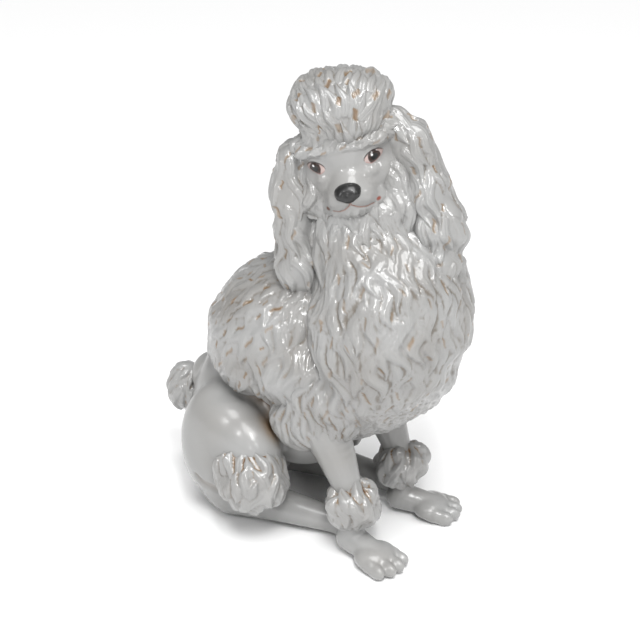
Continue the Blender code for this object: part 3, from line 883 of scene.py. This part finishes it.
class POODLE_OT_head(bpy.types.Operator):
    """Models the head and paints its face"""

    bl_idname = "poodle.head"
    bl_label = "Head"

    def execute(self, context):
        lumps = [ball(*lump, place=HEAD) for lump in CRANIUM_LUMPS]
        lumps += [ball(*lump, place=FACE) for lump in FACE_LUMPS + FORELOCK_LUMPS]
        clay = press_together(lumps, "head_face", 3.15, 6, 2)
        skin = Skin(clay)
        back = np.array(FACE.inverted())
        local = skin.at @ back[:3, :3].T + back[:3, 3]
        across, forward, up = local[:, 0], -local[:, 1], local[:, 2]
        front = smoothstep(8, 20, forward)
        half_eye = sizes().eye_width / MM / 2
        lift = np.zeros(skin.count)
        for side in (-1, 1):
            x, y = eye_plane(across, up, side)
            far = np.hypot(x / 17, (y - 1) / 12)
            lift -= 3.2 * np.exp(-(far**4)) * front
            top, low = lid_edges(x, half_eye)
            inside = np.minimum(top - y, y - low)
            dome = smoothstep(-0.6, 2.2, inside) * (np.abs(x) < half_eye)
            lift += 2.6 * dome * np.maximum(1 - (x / (half_eye + 2)) ** 2, 0) * front
            rim = np.exp(-(((y - top - 0.9) / 1.0) ** 2)) + 0.7 * np.exp(-(((y - low + 0.8) / 1.0) ** 2))
            lift += 0.9 * rim * (np.abs(x) < half_eye + 0.5) * front
        groove = line_distance(np.abs(across), up, MOUTH)
        lift -= 1.3 * np.exp(-((groove / 1.1) ** 2)) * smoothstep(28, 36, forward)
        skin.raise_by(lift, 1)
        brow = smoothstep(15.5, 21, up + 0.08 * np.abs(across)) * smoothstep(-8, 4, forward)
        under = smoothstep(-34, -40, up - 0.008 * across**2 + 0.22 * np.abs(across)) * (forward > 0)
        under = np.maximum(under, smoothstep(42, 48, np.abs(across) - 0.3 * up))
        nape = smoothstep(4, -8, forward)
        brows, chin = in_frame(BROW_GUIDES, FACE), in_frame(CHIN_GUIDES, FACE)
        short = {"strands": 2, "apart": (0.5, 1.4), "wave": 20}
        fur = comb(skin, brows, 51, 9000, where=brow > 0.3, **short) * brow
        fur += comb(skin, chin, 52, 9000, where=under > 0.3, **short) * under * (1 - nape)
        fur += comb(skin, in_frame(NAPE_GUIDES, HEAD), 53, 9000, where=nape > 0.3) * nape
        skin.raise_by(fur, sizes().softness + 1)
        dashes(skin, sized(brows, 9, 1.7, 0.3), 55, 2500, (1.8, 7.0), 0.8, 0.6, where=brow > 0.8)
        skin.raise_by(skin.lift, 1)
        stain_hollows(skin, 0.22, 0.7, 54, patch=14, dry=0.2, share=0.9)
        skin.stain *= np.maximum(np.maximum(brow, under), nape)
        skin.strand *= np.maximum(np.maximum(brow, under), nape)
        self.paint(skin, across, up, forward, half_eye, groove)
        keep_attributes(skin, 1.3)
        coat(clay, glaze("face_glaze", painted=True, shine=(0.6, 0.14)))
        hand_over(clay, ["head"])
        return {"FINISHED"}

    def paint(self, skin, across, up, forward, half_eye, groove):
        """Eyes, lids and mouth, as a painter would lay them on."""
        c = colours()
        front = forward > 18
        painted = np.zeros((skin.count, 3)) + np.array(tuple(c.glaze))
        share = np.zeros(skin.count)
        for side in (-1, 1):
            x, y = eye_plane(across, up, side)
            top, low = lid_edges(x, half_eye)
            inside = np.minimum(np.minimum(top - y, y - low), half_eye - np.abs(x))
            eye = edge(-inside) * front
            far = np.hypot(x, y)
            near_eye = np.exp(-((np.hypot(x / 13, (y + 0.5) / 8.5)) ** 4))
            paint_over(painted, share, 0.30 * near_eye * front, (0.25, 0.19, 0.17))
            paint_over(painted, share, eye, (0.40, 0.31, 0.29))
            paint_over(painted, share, eye * edge(far - 5.9), (0.012, 0.006, 0.005))
            paint_over(painted, share, eye * edge(far - 4.9), tuple(c.iris))
            paint_over(painted, share, eye * edge(np.hypot(x, y - 0.3) - 3.2), (0.002, 0.002, 0.002))
            # painted highlight: a white glint dot on each iris
            glint = edge(np.hypot(x + side * 1.4, y - 2.7) - 0.85, 0.4)
            paint_over(painted, share, eye * glint, (0.9, 0.9, 0.9))
            lid = np.abs(y - top) - 0.65
            paint_over(painted, share, edge(lid) * (np.abs(x) < half_eye + 0.3) * front, (0.02, 0.013, 0.011))
            lower = np.abs(y - low) - 0.45
            lower = 0.75 * edge(lower) * (np.abs(x) < half_eye - 0.5) * front
            paint_over(painted, share, lower, (0.25, 0.09, 0.075))
        line = edge(groove - 0.75, 0.55) * (forward > 28)
        paint_over(painted, share, line * 0.9, tuple(c.lips))
        for side, colour in ((-1, (0.10, 0.035, 0.02)), (1, (0.20, 0.05, 0.035))):
            dot = np.hypot(across - side * LIP_DOT[0], up - LIP_DOT[1])
            paint_over(painted, share, edge(dot - 2.1, 0.8) * (forward > 22), colour)
        mesh = skin.clay.data
        layer = mesh.attributes.new("painted_share", "FLOAT", "POINT")
        layer.data.foreach_set("value", share.astype(np.float32))
        layer = mesh.attributes.new("painted", "FLOAT_COLOR", "POINT")
        rgba = np.concatenate([painted, np.ones((skin.count, 1))], axis=1).astype(np.float32)
        layer.data.foreach_set("color", rgba.ravel())


class POODLE_OT_nose(bpy.types.Operator):
    """Models the nose leather"""

    bl_idname = "poodle.nose"
    bl_label = "Nose"

    def execute(self, context):
        half = sizes().nose_width / MM / 2
        lumps = [
            (head_at(0, 57, -15.5), (half, 9.5, 7.6), (0, 0, 0)),
            (head_at(0, 60, -20), (half * 0.62, 7.5, 6.4), (0, 0, 0)),
            (head_at(-6, 58, -17.5), (half * 0.5, 9, 6.4), (0, 0, 0)),
            (head_at(6, 58, -17.5), (half * 0.5, 9, 6.4), (0, 0, 0)),
        ]
        clay = press_together([ball(*lump, place=FACE) for lump in lumps], "nose_leather", 1.2, 5, 1)
        brush = Brush("nose_black")
        brush.set(Base_Color=(*colours().nose, 1), Roughness=0.42, Coat_Weight=0.25, Coat_Roughness=0.08)
        coat(clay, brush.paint)
        hand_over(clay, ["head"])
        return {"FINISHED"}


# ---- hindquarters --------------------------------------------------------------------------------
RUMP_LUMPS = [
    ((0, 112, 90), (58, 61, 95), (0, 0, 0)),
    ((0, 160, 130), (24, 18, 24), (0, 0, 0)),
    ((0, 60, 112), (48, 74, 52), (20, 0, 0)),
    ((0, 96, 140), (50, 56, 56), (-20, 0, 0)),
]
THIGH_LUMPS = [
    ((54, 106, 86), (41, 44, 68), (0, 0, 0)),
    ((62, 82, 104), (34, 56, 40), (28, 0, 0)),
    ((68, 62, 102), (29, 42, 33), (30, 0, 0)),
    ((54, 100, 34), (23, 34, 30), (0, 0, 0)),
]
# both hind feet swing a little to the dog's left
LEFT_FOOT = [(58, 94, 23), (62, 62, 23), (68, 26, 21), (74, -8, 18), (78, -32, 14)]
RIGHT_FOOT = [(-54, 94, 23), (-46, 62, 22), (-38, 26, 20), (-31, -8, 17), (-26, -32, 14)]
FOOT_RADII = [23, 21, 18.5, 15.5, 13.5]


def flatten_soles(skin):
    """The piece stands on the floor with flat soles."""
    skin.at[:, 2] = np.maximum(skin.at[:, 2], 0.0)
    skin.turn()


class POODLE_OT_hindquarters(bpy.types.Operator):
    """Models the smooth rump, thighs and hind feet"""

    bl_idname = "poodle.hindquarters"
    bl_label = "Hindquarters"

    def execute(self, context):
        parts = [ball(*lump) for lump in RUMP_LUMPS]
        for side in (-1, 1):
            parts += [ball(*lump) for lump in mirrored(THIGH_LUMPS, side)]
            foot = LEFT_FOOT if side > 0 else RIGHT_FOOT
            parts += limb(foot, FOOT_RADII, press=0.95)
            for row in (-1.5, -0.5, 0.5, 1.5):
                toe = (foot[-1][0] + 2 + row * 7.2, -38 - 3 * (1.5 - abs(row)), 8)
                parts.append(ball(toe, (4.6, 13, 8), (0, 0, 10), sides=16))
        clay = press_together(parts, "hindquarters_smooth", 3.6, 7, 1)
        skin = Skin(clay)
        flatten_soles(skin)
        for side in (-1, 1):
            stroke(skin, (side * 88, 98, 44), (0, 0.72, 0.7), 46, 7, 3.2, 0.12, 0.3 * side)
        skin.raise_by(skin.lift, 2)
        stain_hollows(skin, 0.16, 0.8, 61, patch=30, dry=0.3, share=0.8)
        # painted shade: dark brown on the rump and thighs where they run in under the mane
        shade_under_lumps(skin, BACK_LUMPS[1:2] + CHEST_LUMPS[2:4], 6.0, 0.85)
        # painted shade: a light broad darkening over the hindquarters
        keep_attributes(skin, 1.0, broad_shade=0.10)
        coat(clay, glaze("smooth_glaze", shine=(0.6, 0.20)))
        solids = ["rump", "thigh_left", "thigh_right", "hind_foot_left", "hind_foot_right"]
        hand_over(clay, solids)
        return {"FINISHED"}


# ---- forelegs ------------------------------------------------------------------------------------
def paw_frame(side):
    place = Matrix.Translation((side * 50.0, -57.0 + (1.0 if side < 0 else 0.0), 0.0))
    return place @ Matrix.Rotation(math.radians(16.0 if side > 0 else -12.0), 4, "Z")


class POODLE_OT_forelegs(bpy.types.Operator):
    """Models both forelegs with their paws"""

    bl_idname = "poodle.forelegs"
    bl_label = "Forelegs"

    def execute(self, context):
        for side, tag in ((-1, "right"), (1, "left")):
            x, y = side * 50, -57
            shaft = [(x, y + 34, 136), (x, y + 20, 108), (x, y + 8, 80), (x, y, 58), (x, y - 1, 34)]
            parts = limb(shaft, [25, 20, 15.5, 13.5, 12.5])
            place = paw_frame(side)
            parts += limb([(0, -1, 34), (0, 2, 18), (0, -16, 15), (0, -32, 12)], [12.5, 15, 14, 13.5], place)
            parts.append(ball((0, -33, 11.5), (23.5, 20, 12.5), place=place))
            for row in (-1.5, -0.5, 0.5, 1.5):
                ahead = 56 - 3.6 * abs(row) ** 1.4
                for share, lift in ((0.55, 9.5), (0.0, 8.0)):
                    toe = (row * 11.4, -ahead + 18 * share, lift)
                    parts.append(ball(toe, (6.3, 12.5, 8.4), (-8, 0, row * 5), place, sides=16))
            clay = press_together(parts, "foreleg_" + tag + "_smooth", 1.7, 3, 1)
            skin = Skin(clay)
            flatten_soles(skin)
            stain_hollows(skin, 0.10, 0.5, 71 + side, patch=18, dry=0.0, share=0.85)
            keep_attributes(skin, 0.8)
            coat(clay, bpy.data.materials["smooth_glaze"])
            hand_over(clay, ["foreleg_" + tag, "forepaw_" + tag])
        return {"FINISHED"}


# ---- cuffs and tail ------------------------------------------------------------------------------
def cuff_guides(at, half):
    """Flame locks: up around the top edge, down below."""
    x, y, z = at
    made = []
    for step in range(8):
        a = step * math.pi / 4
        c, s = math.cos(a), math.sin(a)
        east, north = x + half[0] * c, y + half[1] * s
        made.append(((east, north, z + half[2] * 0.5), (c * 0.2, s * 0.2, 1), (28, 6.2, 4.4, 0.6)))
        made.append(((east, north, z - half[2] * 0.4), (c * 0.1, s * 0.1, -1), (28, 6.4, 4.0, 0.7)))
    return made


class POODLE_OT_cuffs(bpy.types.Operator):
    """Models the four fur cuffs"""

    bl_idname = "poodle.cuffs"
    bl_label = "Cuffs"

    def execute(self, context):
        for side, tag in ((-1, "right"), (1, "left")):
            fore = (side * 50, -57 + (1 if side < 0 else 0), 59)
            hind = (side * 80, 48, 71)
            cuffs = (("fore_cuff_", fore, (28, 28, 25.5), 81), ("hind_cuff_", hind, (33.5, 39, 36), 85))
            for name, at, half, seed in cuffs:
                clay = press_together([ball(at, half)], name + tag + "_fur", 2.6, 2, 1)
                skin = Skin(clay)
                height = comb(skin, cuff_guides(at, half), seed + side, 6000, jitter=0.35, strands=2)
                skin.raise_by(height - 1.4 + 1.8 * clouds(skin.at, 24.0, seed + 5), sizes().softness)
                stain_hollows(skin, 0.25, 0.9, seed + 2, patch=14, dry=0.3, share=0.9)
                top = smoothstep(at[2] + 0.2 * half[2], at[2] + 0.8 * half[2], skin.at[:, 2])
                skin.stain = np.maximum(skin.stain * 0.7, smoothstep(0.08, 0.6, skin.hollows(5)) * top)
                keep_attributes(skin, 0.8)
                coat(clay, bpy.data.materials["mane_glaze"])
                hand_over(clay, [name + tag])
        return {"FINISHED"}


TAIL_LUMPS = [((0, 193, 104), (23, 22, 29), (0, 0, 0)), ((0, 184, 96), (18, 20, 22), (0, 0, 0))]
TAIL_GUIDES = [
    ((0, 200, 130), (0, 0.4, -1), (26, 4.6, 2.8, 0.6)),
    ((-22, 195, 104), (0, 0.2, -1), (28, 4.6, 2.8, 0.6)),
    ((22, 195, 104), (0, 0.2, -1), (28, 4.6, 2.8, 0.6)),
]


class POODLE_OT_tail(bpy.types.Operator):
    """Models the tail pompon"""

    bl_idname = "poodle.tail"
    bl_label = "Tail"

    def execute(self, context):
        parts = [ball(*lump) for lump in TAIL_LUMPS] + limb([(0, 150, 92), (0, 180, 100)], [15, 15])
        clay = press_together(parts, "tail_fur", 2.8, 3, 1)
        skin = Skin(clay)
        height = comb(skin, TAIL_GUIDES, 91, 4000, strands=2)
        skin.raise_by(height - 1.0, sizes().softness)
        stain_hollows(skin, 0.2, 0.8, 92, patch=20, dry=0.1, share=0.8)
        keep_attributes(skin, 0.8)
        coat(clay, bpy.data.materials["mane_glaze"])
        hand_over(clay, ["tail"])
        return {"FINISHED"}


# ---- stage ---------------------------------------------------------------------------------------
def softbox(name, at, target, size, power):
    """A tall soft lamp, three times as high as wide."""
    light = bpy.data.lights.new(name, "AREA")
    light.shape, light.size, light.size_y, light.energy = "RECTANGLE", size, 3 * size, power
    lamp = bpy.data.objects.new(name, light)
    bpy.context.scene.collection.objects.link(lamp)
    lamp.location = at
    lamp.rotation_euler = (Vector(target) - Vector(at)).to_track_quat("-Z", "Y").to_euler()


class POODLE_OT_stage(bpy.types.Operator):
    """Sets the floor, the lights and the camera"""

    bl_idname = "poodle.stage"
    bl_label = "Stage"

    def execute(self, context):
        bpy.ops.mesh.primitive_plane_add(size=60.0, location=(0, 0, 0))
        floor = context.object
        floor.name = "floor"
        brush = Brush("floor_pale")
        brush.set(Base_Color=(0.88, 0.88, 0.88, 1), Roughness=0.9)
        coat(floor, brush.paint)
        world = bpy.data.worlds.new("studio")
        world.use_nodes = True
        world.node_tree.nodes["Background"].inputs["Color"].default_value = (1, 1, 1, 1)
        world.node_tree.nodes["Background"].inputs["Strength"].default_value = 0.27
        context.scene.world = world
        sky = bpy.data.lights.new("overhead", "SUN")
        sky.energy, sky.angle = 2.70, math.radians(40)
        lamp = bpy.data.objects.new("overhead", sky)
        context.scene.collection.objects.link(lamp)
        lamp.rotation_euler = (-Vector((-0.24, -0.24, 0.94))).to_track_quat("-Z", "Y").to_euler()
        middle = (0, -0.03, 0.25)
        softbox("key", (-1.2, -1.0, 1.9), middle, 0.26, 22)
        softbox("window", (-1.7, 0.3, 1.5), middle, 0.20, 10)
        softbox("side", (0.4, -1.7, 1.4), middle, 0.16, 6)
        softbox("front", (-1.25, -1.25, 0.95), middle, 0.10, 3)
        softbox("low", (-1.75, -0.75, 0.55), middle, 0.08, 2)
        context.scene.view_settings.view_transform = "Standard"
        self.camera(context)
        return {"FINISHED"}

    def camera(self, context):
        """Stands in front of the dog's right shoulder, a little above it."""
        azimuth, rise, away = math.radians(-57), math.radians(24), 1.4
        target = Vector((-0.024, SET_Y * MM, 0.240))
        level = math.cos(rise)
        back = Vector((math.sin(azimuth) * level, -math.cos(azimuth) * level, math.sin(rise)))
        lens = bpy.data.cameras.new("camera")
        lens.sensor_width, lens.lens = 36.0, 36.0 * 1400 / 640
        camera = bpy.data.objects.new("camera", lens)
        context.scene.collection.objects.link(camera)
        camera.location = target + back * away
        camera.rotation_euler = (-back).to_track_quat("-Z", "Y").to_euler()
        context.scene.camera = camera


class POODLE_PT_panel(bpy.types.Panel):
    """Lists the pieces and their settings"""

    bl_label = "Glazed poodle"
    bl_idname = "POODLE_PT_panel"
    bl_space_type = "VIEW_3D"
    bl_region_type = "UI"
    bl_category = "Poodle"

    def draw(self, context):
        for group in (context.scene.poodle_sizes, context.scene.poodle_colours):
            for name in group.__annotations__:
                self.layout.prop(group, name)
        for operator in OPERATORS:
            self.layout.operator(operator.bl_idname)


OPERATORS = (
    POODLE_OT_mane,
    POODLE_OT_ruff,
    POODLE_OT_ears,
    POODLE_OT_topknot,
    POODLE_OT_head,
    POODLE_OT_nose,
    POODLE_OT_hindquarters,
    POODLE_OT_forelegs,
    POODLE_OT_cuffs,
    POODLE_OT_tail,
    POODLE_OT_stage,
)
CLASSES = (PoodleSizes, PoodleColours, *OPERATORS, POODLE_PT_panel)


def register():
    for kind in CLASSES:
        bpy.utils.register_class(kind)
    bpy.types.Scene.poodle_sizes = bpy.props.PointerProperty(type=PoodleSizes)
    bpy.types.Scene.poodle_colours = bpy.props.PointerProperty(type=PoodleColours)


def unregister():
    del bpy.types.Scene.poodle_sizes
    del bpy.types.Scene.poodle_colours
    for kind in reversed(CLASSES):
        bpy.utils.unregister_class(kind)


def main():
    register()
    bpy.ops.object.select_all(action="DESELECT")
    for operator in OPERATORS:
        group, name = operator.bl_idname.split(".")
        getattr(getattr(bpy.ops, group), name)()


if __name__ == "__main__":
    main()
